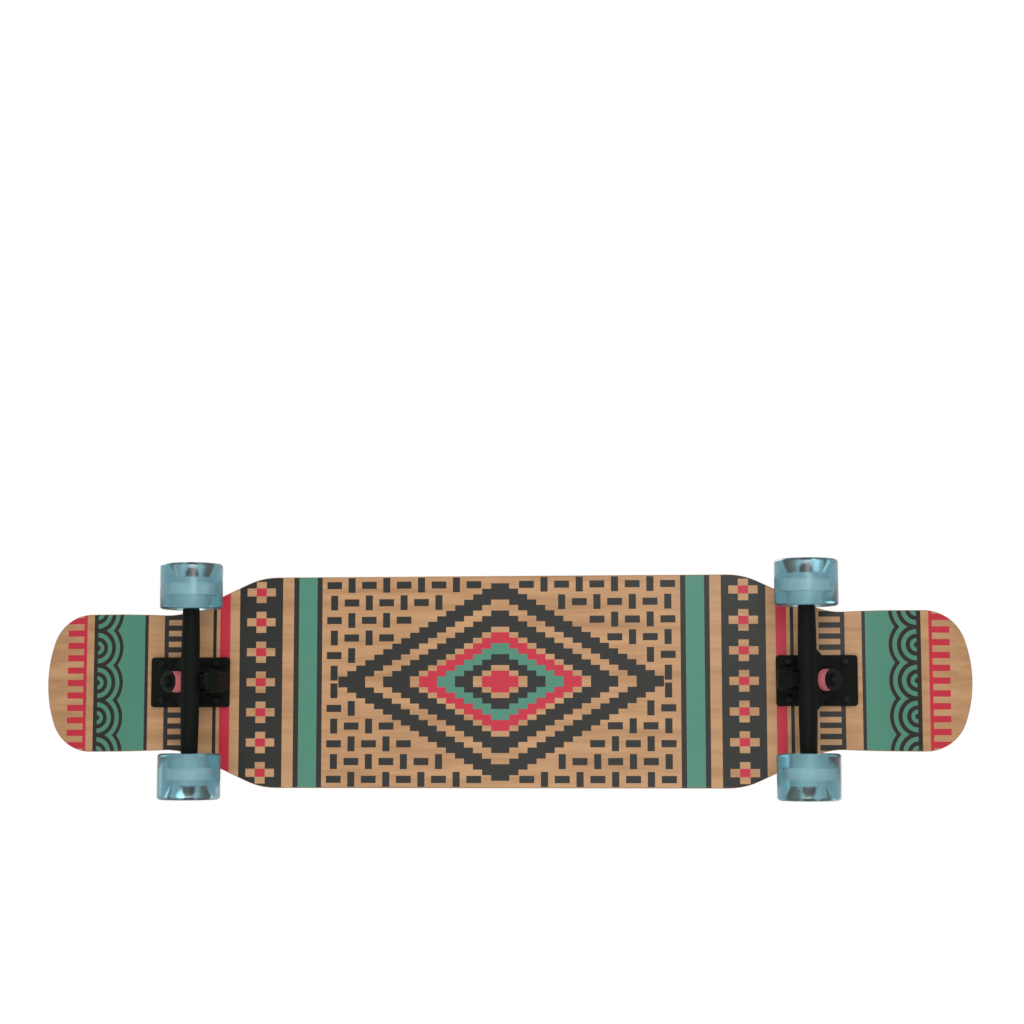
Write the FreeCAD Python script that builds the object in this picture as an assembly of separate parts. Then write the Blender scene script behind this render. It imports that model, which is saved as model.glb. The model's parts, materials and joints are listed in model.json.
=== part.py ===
import FreeCAD, Part
import math
import os

from FreeCAD import Placement, Rotation, Vector

# A longboard skateboard, in millimetres, standing on its wheels.
# +X runs towards the nose, +Y to the left, +Z up. The origin is on the floor, under the deck's centre.

# Deck
DECK_LENGTH = 1067.0
DECK_WIDTH = 241.0
DECK_THICKNESS = 11.2
DECK_EDGE_RADIUS = 2.4
LOBE_WIDTH = 159.0
NECK_WIDTH = 155.0
TIP_RADIUS = 140.0
CORNER_RADIUS = 49.0
NECK_FROM_TIP = 148.0
NECK_RADIUS = 80.0
SHOULDER_RADIUS = 80.0
FLARE_ANGLE = 25.0
KICK_FROM_TIP = 128.0
KICK_RADIUS = 170.0
KICK_ANGLE = 13.0

# Grip tape
GRIP_THICKNESS = 0.9
GRIP_EDGE_MARGIN = 0.2

# Where each truck is bolted on
TRUCK_FROM_TIP = 176.5
BOLT_SPACING_LONG = 63.5
BOLT_SPACING_WIDE = 41.3
BOLT_DIAMETER = 4.8
BOLT_HEAD_DIAMETER = 9.4
BOLT_SOCKET_FLATS = 3.2
BOLT_SOCKET_DEPTH = 1.9
BOLT_PAST_NUT = 1.6
BOLT_HOLE_CLEARANCE = 0.2
MOUNT_NUT_FLATS = 8.0
MOUNT_NUT_HEX_HEIGHT = 3.6
MOUNT_NUT_COLLAR_HEIGHT = 1.9
MOUNT_NUT_COLLAR_WALL = 0.9

# Baseplate
BASE_LENGTH = 91.0
BASE_WIDTH = 57.0
BASE_THICKNESS = 7.0
BASE_CORNER_RADIUS = 3.5
BASE_EDGE_RADIUS = 1.6
TOWER_WIDTH = 25.0
TOWER_FLOOR = 1.8
TOWER_WALL = 2.2
TOWER_EDGE_RADIUS = 5.0
SEAT_FLOOR = 5.0
SEAT_MARGIN = 1.2

# Steering axis: from the pivot cup inboard, up through the hanger's ring outboard
STEER_ANGLE = 40.0
RING_OUTBOARD = 4.0
RING_DROP = 31.0
AXLE_INBOARD = 14.0
AXLE_DROP = 64.0

# Pivot cup and the hanger's nose
NOSE_DIAMETER = 10.0
NOSE_GAP = 0.8
CUP_WALL = 1.8
CUP_DEPTH = 8.4
CUP_FLOOR = 1.4
CUP_LIP_WIDTH = 1.0
CUP_LIP_HEIGHT = 0.6
PIVOT_CLEARANCE = 0.08

# Kingpin, its nut, bushings and washers
KINGPIN_DIAMETER = 9.5
KINGPIN_HEAD_FLATS = 14.3
KINGPIN_HEAD_HEIGHT = 5.6
KINGPIN_PAST_NUT = 0.8
KINGPIN_NUT_FLATS = 14.3
KINGPIN_NUT_HEX_HEIGHT = 4.4
KINGPIN_NUT_COLLAR_HEIGHT = 2.0
KINGPIN_NUT_COLLAR_WALL = 1.5
KINGPIN_BORE_CLEARANCE = 0.15
POCKET_CLEARANCE = 0.3
BUSHING_DIAMETER = 25.0
BUSHING_HEIGHT = 15.0
BUSHING_BULGE = 1.0
BUSHING_EDGE = 1.5
BUSHING_TOP_DIAMETER = 22.0
CUP_WASHER_THICKNESS = 1.6
CUP_WASHER_RIM_HEIGHT = 0.8
CUP_WASHER_RIM_WALL = 1.2
CUP_WASHER_CLEARANCE = 0.2

# Hanger
HANGER_WIDTH = 180.0
BEAM_DIAMETER_MIDDLE = 20.5
BEAM_DIAMETER_END = 18.5
BEAM_END_CHAMFER = 1.0
RING_DIAMETER = 40.0
RING_THICKNESS = 9.0
RING_SEAT_DEPTH = 1.5
RING_BORE_DIAMETER = 13.0
RING_EDGE_RADIUS = 1.2
NECK_DIAMETER = 15.0
WEB_WIDTH_AT_BEAM = 92.0
WEB_FLARE = 6.0
WEB_FLARE_LENGTH = 7.0
WEB_ABOVE_AXLE = 5.0
WEB_THICKNESS_AT_RING = 6.0
WEB_THICKNESS_AT_BEAM = 10.0

# Axle and what is on it
AXLE_DIAMETER = 8.0
AXLE_PAST_NUT = 1.4
AXLE_END_CHAMFER = 0.8
AXLE_NUT_FLATS = 12.7
AXLE_NUT_HEX_HEIGHT = 5.2
AXLE_NUT_COLLAR_HEIGHT = 2.6
AXLE_NUT_COLLAR_WALL = 1.4
SPEED_WASHER_DIAMETER = 11.6
SPEED_WASHER_THICKNESS = 1.0

# Wheels
WHEEL_DIAMETER = 70.0
WHEEL_WIDTH = 51.0
TYRE_OFFSET = 3.0
WHEEL_LIP_RADIUS = 4.0
WHEEL_DISH_DIAMETER = 40.0
WHEEL_DISH_EDGE_RADIUS = 2.0
CORE_DIAMETER = 29.0
CORE_PROUD = 0.4
CORE_SKIRT = 8.0
CORE_RIDGE_WIDTH = 13.0
CORE_RIDGE_HEIGHT = 5.5
CORE_BORE_DIAMETER = 18.0

# Bearings
BEARING_DIAMETER = 22.0
BEARING_WIDTH = 7.0
BEARING_INNER_SHOULDER = 12.2
BEARING_OUTER_SHOULDER = 17.8
BALL_DIAMETER = 3.97
BALL_COUNT = 7
BALL_CLEARANCE = 0.06
CAGE_THICKNESS = 1.2
CAGE_WIDTH = 5.4
CAGE_POCKET_CLEARANCE = 0.12
SHIELD_THICKNESS = 0.3
SHIELD_SET_IN = 0.2
SHIELD_CLEARANCE = 0.3
SPACER_LENGTH = 10.0
SPACER_DIAMETER = 11.0

# How far a cut runs past the face that it leaves by
OVERRUN = 20.0

ENDS = {"front": 1, "rear": -1}
SIDES = {"left": 1, "right": -1}

# Heights and places that follow from the sizes
axle_z = WHEEL_DIAMETER / 2
deck_bottom_z = axle_z + AXLE_DROP
deck_top_z = deck_bottom_z + DECK_THICKNESS
grip_top_z = deck_top_z + GRIP_THICKNESS
tip_x = DECK_LENGTH / 2
truck_x = tip_x - TRUCK_FROM_TIP
steer = math.radians(STEER_ANGLE)

# The steering frame has its origin in the ring's centre. Its X runs down the steering axis to the
# pivot cup, its Y across the board and its Z along the kingpin, away from the deck.
steer_x = Vector(-math.cos(steer), 0, -math.sin(steer))
steer_y = Vector(0, 1, 0)
steer_z = Vector(math.sin(steer), 0, -math.cos(steer))
steering = Placement(Vector(RING_OUTBOARD, 0, -RING_DROP), Rotation(steer_x, steer_y, steer_z, "XYZ"))
ring_to_axle = Vector(-AXLE_INBOARD - RING_OUTBOARD, 0, RING_DROP - AXLE_DROP)
axle_along = ring_to_axle.dot(steer_x)
axle_below = ring_to_axle.dot(steer_z)

# Stations along the steering axis
beam_radius = BEAM_DIAMETER_MIDDLE / 2
cup_front = axle_along + beam_radius + NOSE_GAP
cup_radius = NOSE_DIAMETER / 2 + PIVOT_CLEARANCE + CUP_WALL
cup_end = cup_front + CUP_DEPTH
tower_radius = cup_radius + TOWER_WALL
tower_end = cup_end + TOWER_FLOOR

# Stations along the kingpin, from the ring's centre
bushing_seat = RING_THICKNESS / 2 - RING_SEAT_DEPTH
board_bushing_end = -bushing_seat - BUSHING_HEIGHT
base_seat = board_bushing_end - CUP_WASHER_THICKNESS
head_seat = base_seat - SEAT_FLOOR
road_bushing_end = bushing_seat + BUSHING_HEIGHT
nut_seat = road_bushing_end + CUP_WASHER_THICKNESS
nut_end = nut_seat + KINGPIN_NUT_HEX_HEIGHT + KINGPIN_NUT_COLLAR_HEIGHT
washer_radius = BUSHING_DIAMETER / 2 + CUP_WASHER_CLEARANCE + CUP_WASHER_RIM_WALL
seat_radius = washer_radius + SEAT_MARGIN

# Stations along the axle, from the board's centre line
axle_radius = AXLE_DIAMETER / 2
hanger_face = HANGER_WIDTH / 2
inner_bearing_y = hanger_face + SPEED_WASHER_THICKNESS + BEARING_WIDTH / 2
outer_bearing_y = inner_bearing_y + BEARING_WIDTH + SPACER_LENGTH
wheel_y = (inner_bearing_y + outer_bearing_y) / 2
outer_washer_y = outer_bearing_y + BEARING_WIDTH / 2
axle_nut_y = outer_washer_y + SPEED_WASHER_THICKNESS
axle_end_y = axle_nut_y + AXLE_NUT_HEX_HEIGHT + AXLE_NUT_COLLAR_HEIGHT + AXLE_PAST_NUT
core_half = SPACER_LENGTH / 2 + BEARING_WIDTH + CORE_PROUD


def turned(points):
    """A solid turned about Z from (radius, height) points."""
    corners = [Vector(radius, 0, height) for radius, height in points]
    profile = Part.Face(Part.makePolygon(corners + corners[:1]))
    return profile.revolve(Vector(0, 0, 0), Vector(0, 0, 1), 360)


def tube(outer, inner, low, high):
    """A round tube about Z between two heights."""
    return turned([(inner, low), (outer, low), (outer, high), (inner, high)])


def cylinder(radius, low, high):
    """A round bar about Z between two heights."""
    return Part.makeCylinder(radius, high - low, Vector(0, 0, low))


def placed(shape, placement):
    """A copy of a shape, carried by a placement."""
    copy = shape.copy()
    copy.Placement = placement.multiply(copy.Placement)
    return copy


def shifted(shape, x, y, z):
    """A copy of a shape, moved."""
    return placed(shape, Placement(Vector(x, y, z), Rotation()))


def along_x(shape):
    """A copy of a shape, with its Z turned to X."""
    return placed(shape, Placement(Vector(), Rotation(Vector(0, 0, 1), Vector(1, 0, 0))))


def along_y(shape, side):
    """A copy of a shape, with its Z turned to the left or to the right."""
    return placed(shape, Placement(Vector(), Rotation(Vector(0, 0, 1), Vector(0, side, 0))))


def on_truck(shape, end):
    """A copy of a shape from a truck's own frame, at the front or turned about for the rear."""
    turn = Rotation(Vector(0, 0, 1), 0 if end > 0 else 180)
    return placed(shape, Placement(Vector(end * truck_x, 0, deck_bottom_z), turn))


def on_steering(shape, end):
    """A copy of a shape from the steering frame, on the front or rear truck."""
    return on_truck(placed(shape, steering), end)


def on_axle(shape, end):
    """A copy of a shape whose origin is the axle's middle, on the front or rear truck."""
    return on_truck(shifted(shape, -AXLE_INBOARD, 0, -AXLE_DROP), end)


def hexagon(flats, low, high):
    """A hexagonal prism about Z, given by its width across flats."""
    corner = flats / math.sqrt(3)
    turns = [math.radians(60 * step) for step in range(6)]
    corners = [Vector(corner * math.cos(turn), corner * math.sin(turn), low) for turn in turns]
    return Part.Face(Part.makePolygon(corners + corners[:1])).extrude(Vector(0, 0, high - low))


def lock_nut(flats, hex_height, collar_height, collar_wall, bore):
    """A lock nut that stands on Z = 0: a hexagon with rounded corners and a collar for its insert."""
    top = hex_height + collar_height
    collar = bore + collar_wall
    across_corners = flats / math.sqrt(3)
    facing = across_corners - flats / 2
    blank = turned([
        (0, 0),
        (flats / 2, 0),
        (across_corners, facing),
        (across_corners, hex_height - facing),
        (flats / 2, hex_height),
        (0, hex_height),
    ])
    body = hexagon(flats, 0, hex_height).common(blank)
    crown = turned([
        (0, hex_height - facing),
        (collar, hex_height - facing),
        (collar, top - facing),
        (collar - facing, top),
        (0, top),
    ])
    return body.fuse(crown).removeSplitter().cut(cylinder(bore, -OVERRUN, top + OVERRUN))


def arc(centre, radius, start, stop):
    """A flat arc between two angles in degrees."""
    turns = [math.radians(angle) for angle in (start, (start + stop) / 2, stop)]
    points = [centre + Vector(radius * math.cos(turn), radius * math.sin(turn), 0) for turn in turns]
    return Part.Arc(*points).toShape()


def deck_outline(inset):
    """The deck's outline seen from above, drawn in by an inset."""
    lobe = LOBE_WIDTH / 2
    neck = NECK_WIDTH / 2
    rail = DECK_WIDTH / 2
    flare = math.radians(FLARE_ANGLE)
    neck_x = tip_x - NECK_FROM_TIP
    tip_centre = Vector(tip_x - TIP_RADIUS, 0, 0)
    tip_turn = math.asin((lobe - CORNER_RADIUS) / (TIP_RADIUS - CORNER_RADIUS))
    tip_to_corner = TIP_RADIUS - CORNER_RADIUS
    corner_centre = tip_centre + Vector(tip_to_corner * math.cos(tip_turn), lobe - CORNER_RADIUS, 0)
    taper = 2 * math.atan((lobe - neck) / (corner_centre.x - neck_x))
    flank_radius = (corner_centre.x - neck_x) / math.sin(taper) - NECK_RADIUS
    flank_centre = Vector(corner_centre.x, lobe - flank_radius, 0)
    neck_centre = Vector(neck_x, neck + NECK_RADIUS, 0)
    both_radii = NECK_RADIUS + SHOULDER_RADIUS
    flare_length = (rail - neck - both_radii * (1 - math.cos(flare))) / math.sin(flare)
    shoulder_x = neck_x - both_radii * math.sin(flare) - flare_length * math.cos(flare)
    shoulder_centre = Vector(shoulder_x, rail - SHOULDER_RADIUS, 0)

    tip_angle = math.degrees(tip_turn)
    taper_angle = math.degrees(taper)
    tip = arc(tip_centre, TIP_RADIUS - inset, -tip_angle, tip_angle)
    corner = arc(corner_centre, CORNER_RADIUS - inset, tip_angle, 90)
    flank = arc(flank_centre, flank_radius - inset, 90, 90 + taper_angle)
    neck_arc = arc(neck_centre, NECK_RADIUS + inset, taper_angle - 90, -FLARE_ANGLE - 90)
    shoulder = arc(shoulder_centre, SHOULDER_RADIUS - inset, 90 - FLARE_ANGLE, 90)
    straight = Part.LineSegment(neck_arc.Vertexes[-1].Point, shoulder.Vertexes[0].Point).toShape()
    half_rail = Part.LineSegment(shoulder.Vertexes[-1].Point, Vector(0, rail - inset, 0)).toShape()

    across = FreeCAD.Vector(0, 1, 0)
    lengthwise = FreeCAD.Vector(1, 0, 0)
    quarter = [corner, flank, neck_arc, straight, shoulder, half_rail]
    half = [tip] + quarter + [edge.mirror(Vector(), across) for edge in quarter]
    edges = half + [edge.mirror(Vector(), lengthwise) for edge in half]
    return Part.Wire(Part.__sortEdges__(edges))


def kicked_slab(bottom, top):
    """A sheet that is flat under the rider and kicks up at both ends, between two heights."""
    kick = math.radians(KICK_ANGLE)
    bend_x = tip_x - KICK_FROM_TIP
    half_width = DECK_WIDTH / 2 + OVERRUN
    centre = Vector(bend_x, 0, deck_bottom_z + KICK_RADIUS)

    def edge_of(height):
        radius = KICK_RADIUS - (height - deck_bottom_z)
        turns = [0, kick / 2, kick]
        bend = [centre + Vector(radius * math.sin(turn), 0, -radius * math.cos(turn)) for turn in turns]
        reach = (tip_x + OVERRUN - bend[-1].x) / math.cos(kick)
        end = bend[-1] + Vector(reach * math.cos(kick), 0, reach * math.sin(kick))
        return bend, end

    def run(height):
        bend, end = edge_of(height)
        mirrored = [Vector(-point.x, 0, point.z) for point in bend]
        far_end = Vector(-end.x, 0, end.z)
        return [
            Part.LineSegment(far_end, mirrored[-1]).toShape(),
            Part.Arc(*reversed(mirrored)).toShape(),
            Part.LineSegment(mirrored[0], bend[0]).toShape(),
            Part.Arc(*bend).toShape(),
            Part.LineSegment(bend[-1], end).toShape(),
        ], far_end, end

    lower, lower_far, lower_end = run(bottom)
    upper, upper_far, upper_end = run(top)
    sides = [
        Part.LineSegment(lower_end, upper_end).toShape(),
        Part.LineSegment(lower_far, upper_far).toShape(),
    ]
    profile = Part.Face(Part.Wire(Part.__sortEdges__(lower + upper + sides)))
    return shifted(profile.extrude(Vector(0, 2 * half_width, 0)), 0, -half_width, 0)


def board_sheet(bottom, top, inset):
    """A kicked sheet, cut to the deck's outline."""
    outline = Part.Face(deck_outline(inset))
    column = outline.extrude(Vector(0, 0, DECK_LENGTH))
    return kicked_slab(bottom, top).common(column).removeSplitter()


def bolt_places():
    """The bolts' places on a truck, in its own frame."""
    half_long = BOLT_SPACING_LONG / 2
    half_wide = BOLT_SPACING_WIDE / 2
    return [(x, y) for x in (half_long, -half_long) for y in (half_wide, -half_wide)]


def at_bolts(shape, end):
    """Copies of a shape at a truck's four bolts."""
    return [on_truck(shifted(shape, x, y, 0), end) for x, y in bolt_places()]


bolt_radius = BOLT_DIAMETER / 2
bolt_top = DECK_THICKNESS + GRIP_THICKNESS
bolt_head_radius = BOLT_HEAD_DIAMETER / 2
bolt_head_depth = bolt_head_radius - bolt_radius
mount_nut_height = MOUNT_NUT_HEX_HEIGHT + MOUNT_NUT_COLLAR_HEIGHT
bolt_end = -BASE_THICKNESS - mount_nut_height - BOLT_PAST_NUT


def bolt_head():
    """A bolt's countersunk head, flush with the grip tape."""
    low = bolt_top - bolt_head_depth
    return turned([(0, low), (bolt_radius, low), (bolt_head_radius, bolt_top), (0, bolt_top)])


def mount_bolt():
    """A countersunk bolt with a hexagon socket."""
    shank = cylinder(bolt_radius, bolt_end, bolt_top - bolt_head_depth)
    socket = hexagon(BOLT_SOCKET_FLATS, bolt_top - BOLT_SOCKET_DEPTH, bolt_top + OVERRUN)
    return shank.fuse(bolt_head()).removeSplitter().cut(socket)


def mount_nut():
    """A lock nut under the baseplate."""
    nut = lock_nut(
        MOUNT_NUT_FLATS, MOUNT_NUT_HEX_HEIGHT, MOUNT_NUT_COLLAR_HEIGHT, MOUNT_NUT_COLLAR_WALL, bolt_radius
    )
    turn = Placement(Vector(0, 0, -BASE_THICKNESS), Rotation(Vector(1, 0, 0), 180))
    return placed(nut, turn)


def bolt_hole():
    """The clearance hole for a bolt, through the deck and the baseplate."""
    return cylinder(bolt_radius + BOLT_HOLE_CLEARANCE, bolt_end - OVERRUN, bolt_top + OVERRUN)


def is_wall(face):
    """Whether a face stands upright."""
    low_u, high_u, low_v, high_v = face.ParameterRange
    normal = face.normalAt((low_u + high_u) / 2, (low_v + high_v) / 2)
    return abs(normal.z) < math.sin(math.radians(1))


def rim_edges(solid):
    """The edges where a sheet's upright wall meets its top and its bottom."""
    edges = []
    for edge in solid.Edges:
        walls = [is_wall(face) for face in solid.ancestorsOfType(edge, Part.Face)]
        if any(walls) and not all(walls):
            edges.append(edge)
    return edges


def deck():
    """The pressed maple deck, with rounded edges and bolt holes."""
    board = board_sheet(deck_bottom_z, deck_top_z, 0)
    board = board.makeFillet(DECK_EDGE_RADIUS, rim_edges(board))
    for end in ENDS.values():
        board = board.cut(Part.makeCompound(at_bolts(bolt_hole(), end)))
        board = board.cut(Part.makeCompound(at_bolts(bolt_head(), end)))
    return board


def grip_tape():
    """The abrasive sheet on top of the deck."""
    sheet = board_sheet(deck_top_z, grip_top_z, DECK_EDGE_RADIUS + GRIP_EDGE_MARGIN)
    for end in ENDS.values():
        sheet = sheet.cut(Part.makeCompound(at_bolts(bolt_head(), end)))
    return sheet


def steer_point(along, below):
    """A point of the steering frame's middle plane, in the truck's own frame."""
    return steering.multVec(Vector(along, 0, below))


def prism(points, width):
    """A prism across the truck from points of its middle plane."""
    profile = Part.Face(Part.makePolygon(points + points[:1]))
    return shifted(profile.extrude(Vector(0, width, 0)), 0, -width / 2, 0)


def baseplate():
    """The casting bolted to the deck: a plate, the kingpin's seat and the tower that holds the pivot."""
    plate = Part.makeBox(BASE_LENGTH, BASE_WIDTH, BASE_THICKNESS)
    plate = shifted(plate, -BASE_LENGTH / 2, -BASE_WIDTH / 2, -BASE_THICKNESS)
    uprights = [edge for edge in plate.Edges if abs(edge.tangentAt(edge.FirstParameter).z) > 0.5]
    plate = plate.makeFillet(BASE_CORNER_RADIUS, uprights)
    lower_rim = [edge for edge in plate.Edges if edge.BoundBox.ZMax < -BASE_THICKNESS / 2]
    plate = plate.makeFillet(BASE_EDGE_RADIUS, lower_rim)

    in_plate = -BASE_THICKNESS / 2
    tower_back = steer_point(tower_end, -tower_radius)
    seat_low = steer_point(seat_radius, base_seat)
    seat_middle = steer_point(0, base_seat)
    tower = prism([
        Vector(tower_back.x, 0, in_plate),
        tower_back,
        steer_point(tower_end, 0),
        steer_point(cup_front, 0),
        steer_point(cup_front, -tower_radius),
        seat_low,
        seat_middle,
        Vector(seat_middle.x, 0, in_plate),
    ], TOWER_WIDTH)
    corners = [
        edge for edge in tower.Edges
        if edge.BoundBox.XMax < tower_back.x + TOWER_EDGE_RADIUS and edge.BoundBox.YLength < TOWER_WIDTH / 2
    ]
    tower = tower.makeFillet(TOWER_EDGE_RADIUS, corners)
    cup_holder = cylinder(tower_radius, cup_front, tower_end)
    floor_rim = [edge for edge in cup_holder.Edges if edge.Closed and edge.BoundBox.ZMin > cup_end]
    cup_holder = placed(along_x(cup_holder.makeFillet(TOWER_WALL, floor_rim)), steering)
    seat = placed(cylinder(seat_radius, base_seat - OVERRUN, base_seat), steering)
    above_deck = Part.makeBox(BASE_LENGTH + OVERRUN, BASE_LENGTH + OVERRUN, BASE_LENGTH)
    above_deck = shifted(above_deck, -(BASE_LENGTH + OVERRUN) / 2, -(BASE_LENGTH + OVERRUN) / 2, 0)

    casting = plate.fuse([tower, cup_holder, seat]).cut(above_deck).removeSplitter()
    cup_hole = placed(along_x(cylinder(cup_radius, cup_front - OVERRUN, cup_end)), steering)
    pin_hole_radius = KINGPIN_DIAMETER / 2 + KINGPIN_BORE_CLEARANCE
    pin_hole = placed(cylinder(pin_hole_radius, head_seat - OVERRUN, base_seat + OVERRUN), steering)
    pocket_flats = KINGPIN_HEAD_FLATS + 2 * POCKET_CLEARANCE
    pocket = placed(hexagon(pocket_flats, head_seat - BASE_LENGTH, head_seat), steering)
    bolt_holes = [shifted(bolt_hole(), x, y, 0) for x, y in bolt_places()]
    return casting.cut([cup_hole, pin_hole, pocket] + bolt_holes)


def pivot_cup():
    """The soft cup between the tower and the hanger's nose."""
    inside = NOSE_DIAMETER / 2 + PIVOT_CLEARANCE
    cup = turned([
        (inside, cup_front),
        (cup_radius, cup_front),
        (cup_radius, cup_end),
        (0, cup_end),
        (0, cup_end - CUP_FLOOR),
        (inside, cup_end - CUP_FLOOR),
    ])
    lip = tube(cup_radius + CUP_LIP_WIDTH, inside, cup_front - CUP_LIP_HEIGHT, cup_front)
    return along_x(cup.fuse(lip).removeSplitter())


def kingpin():
    """The bolt that holds the bushings and the hanger's ring to the baseplate."""
    end = nut_end + KINGPIN_PAST_NUT
    head = hexagon(KINGPIN_HEAD_FLATS, head_seat - KINGPIN_HEAD_HEIGHT, head_seat)
    return head.fuse(cylinder(KINGPIN_DIAMETER / 2, head_seat, end)).removeSplitter()


def kingpin_nut():
    """The lock nut that squeezes the bushings."""
    nut = lock_nut(
        KINGPIN_NUT_FLATS,
        KINGPIN_NUT_HEX_HEIGHT,
        KINGPIN_NUT_COLLAR_HEIGHT,
        KINGPIN_NUT_COLLAR_WALL,
        KINGPIN_DIAMETER / 2,
    )
    return shifted(nut, 0, 0, nut_seat)


def bushing_profile(ring_radius, far_radius):
    """The outline of a bushing from its end on the ring to its far end, with a slight waist-high bulge."""
    bore = KINGPIN_DIAMETER / 2 + KINGPIN_BORE_CLEARANCE
    middle = (ring_radius + far_radius) / 2 + BUSHING_BULGE / 2
    return [
        (bore, 0),
        (ring_radius - BUSHING_EDGE, 0),
        (ring_radius, BUSHING_EDGE),
        (middle, BUSHING_HEIGHT / 2),
        (far_radius, BUSHING_HEIGHT - BUSHING_EDGE),
        (far_radius - BUSHING_EDGE, BUSHING_HEIGHT),
        (bore, BUSHING_HEIGHT),
    ]


def board_bushing():
    """The bushing between the baseplate and the hanger's ring."""
    body = turned(bushing_profile(BUSHING_DIAMETER / 2, BUSHING_DIAMETER / 2))
    return shifted(body, 0, 0, board_bushing_end)


def road_bushing():
    """The bushing between the hanger's ring and the kingpin's nut, smaller at the nut."""
    body = turned(bushing_profile(BUSHING_DIAMETER / 2, BUSHING_TOP_DIAMETER / 2))
    return shifted(body, 0, 0, bushing_seat)


def cupped_washer(bushing_radius):
    """A cupped washer whose floor stands on Z = 0 and whose rim goes up round a bushing."""
    bore = KINGPIN_DIAMETER / 2 + KINGPIN_BORE_CLEARANCE
    inside = bushing_radius + CUP_WASHER_CLEARANCE
    outside = inside + CUP_WASHER_RIM_WALL
    top = CUP_WASHER_THICKNESS + CUP_WASHER_RIM_HEIGHT
    return turned([
        (bore, 0),
        (outside - CUP_WASHER_RIM_WALL / 2, 0),
        (outside, CUP_WASHER_THICKNESS),
        (outside, top),
        (inside, top),
        (inside, CUP_WASHER_THICKNESS),
        (bore, CUP_WASHER_THICKNESS),
    ])


def bushing_washers():
    """The washers at the two far ends of the bushing pair."""
    board_side = shifted(cupped_washer(BUSHING_DIAMETER / 2), 0, 0, base_seat)
    turn = Placement(Vector(0, 0, nut_seat), Rotation(Vector(1, 0, 0), 180))
    return [board_side, placed(cupped_washer(BUSHING_TOP_DIAMETER / 2), turn)]


def beam():
    """The hanger's round beam, from wheel to wheel, about Z."""
    end_radius = BEAM_DIAMETER_END / 2
    rim = hanger_face - BEAM_END_CHAMFER
    return turned([
        (0, -hanger_face),
        (end_radius - BEAM_END_CHAMFER, -hanger_face),
        (end_radius, -rim),
        (beam_radius, -WEB_WIDTH_AT_BEAM / 2),
        (beam_radius, WEB_WIDTH_AT_BEAM / 2),
        (end_radius, rim),
        (end_radius - BEAM_END_CHAMFER, hanger_face),
        (0, hanger_face),
    ])


def web_section(along, below, width, thickness):
    """A rectangle across the steering frame, for the web between the ring and the beam."""
    half = width / 2
    low = below - thickness / 2
    high = below + thickness / 2
    corners = [
        Vector(along, -half, low),
        Vector(along, half, low),
        Vector(along, half, high),
        Vector(along, -half, high),
    ]
    return Part.makePolygon(corners + corners[:1])


def web():
    """The plate that runs from the ring, where its sides are tangent, to the beam, where they flare out."""
    ring_radius = RING_DIAMETER / 2
    half_width = WEB_WIDTH_AT_BEAM / 2
    spread = math.atan2(half_width, axle_along)
    lean = spread - math.asin(ring_radius / math.hypot(half_width, axle_along))
    start = (-ring_radius * math.sin(lean), 0, 2 * ring_radius * math.cos(lean), WEB_THICKNESS_AT_RING)
    end = (axle_along, axle_below - WEB_ABOVE_AXLE, WEB_WIDTH_AT_BEAM, WEB_THICKNESS_AT_BEAM)
    share = 1 - WEB_FLARE_LENGTH / (end[0] - start[0])
    flare_start = [low + share * (high - low) for low, high in zip(start, end)]
    along, below, width, thickness = end
    return Part.makeLoft([
        web_section(*start),
        web_section(*flare_start),
        web_section(along, below, width + 2 * WEB_FLARE, thickness),
    ], True, True)


def hanger():
    """The casting that carries the axle: ring, web, beam and pivot nose, in the steering frame."""
    ring_radius = RING_DIAMETER / 2
    half_ring = RING_THICKNESS / 2
    ring = cylinder(ring_radius, -half_ring, half_ring)
    ring = ring.makeFillet(RING_EDGE_RADIUS, [edge for edge in ring.Edges if edge.Closed])
    bar = shifted(along_y(beam(), 1), axle_along, 0, axle_below)
    neck_radius = NECK_DIAMETER / 2
    nose_radius = NOSE_DIAMETER / 2
    nose_end = cup_end - CUP_FLOOR - NOSE_GAP
    nose = along_x(turned([
        (0, ring_radius),
        (half_ring, ring_radius),
        (neck_radius, axle_along),
        (neck_radius, axle_along + neck_radius - nose_radius),
        (nose_radius, cup_front - NOSE_GAP),
        (nose_radius, nose_end - nose_radius / 2),
        (nose_radius / 2, nose_end),
        (0, nose_end),
    ]))
    casting = ring.fuse([web(), bar, nose]).removeSplitter()
    bushing_radius = BUSHING_DIAMETER / 2 + BUSHING_BULGE
    seat_room = bushing_radius + CUP_WASHER_RIM_WALL
    cuts = [
        cylinder(RING_BORE_DIAMETER / 2, -RING_DIAMETER, RING_DIAMETER),
        cylinder(BUSHING_DIAMETER / 2 + CUP_WASHER_CLEARANCE, bushing_seat, half_ring),
        cylinder(BUSHING_DIAMETER / 2 + CUP_WASHER_CLEARANCE, -half_ring, -bushing_seat),
        cylinder(seat_room, half_ring, RING_DIAMETER),
        cylinder(seat_room, -RING_DIAMETER, -half_ring),
        shifted(along_y(cylinder(axle_radius, -HANGER_WIDTH, HANGER_WIDTH), 1), axle_along, 0, axle_below),
    ]
    return casting.cut(cuts)


def axle():
    """The steel axle through the hanger, about Z."""
    point = axle_radius - AXLE_END_CHAMFER
    shoulder = axle_end_y - AXLE_END_CHAMFER
    return turned([
        (0, -axle_end_y),
        (point, -axle_end_y),
        (axle_radius, -shoulder),
        (axle_radius, shoulder),
        (point, axle_end_y),
        (0, axle_end_y),
    ])


def axle_nut():
    """The lock nut that holds a wheel on."""
    nut = lock_nut(
        AXLE_NUT_FLATS, AXLE_NUT_HEX_HEIGHT, AXLE_NUT_COLLAR_HEIGHT, AXLE_NUT_COLLAR_WALL, axle_radius
    )
    return shifted(nut, 0, 0, axle_nut_y)


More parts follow.
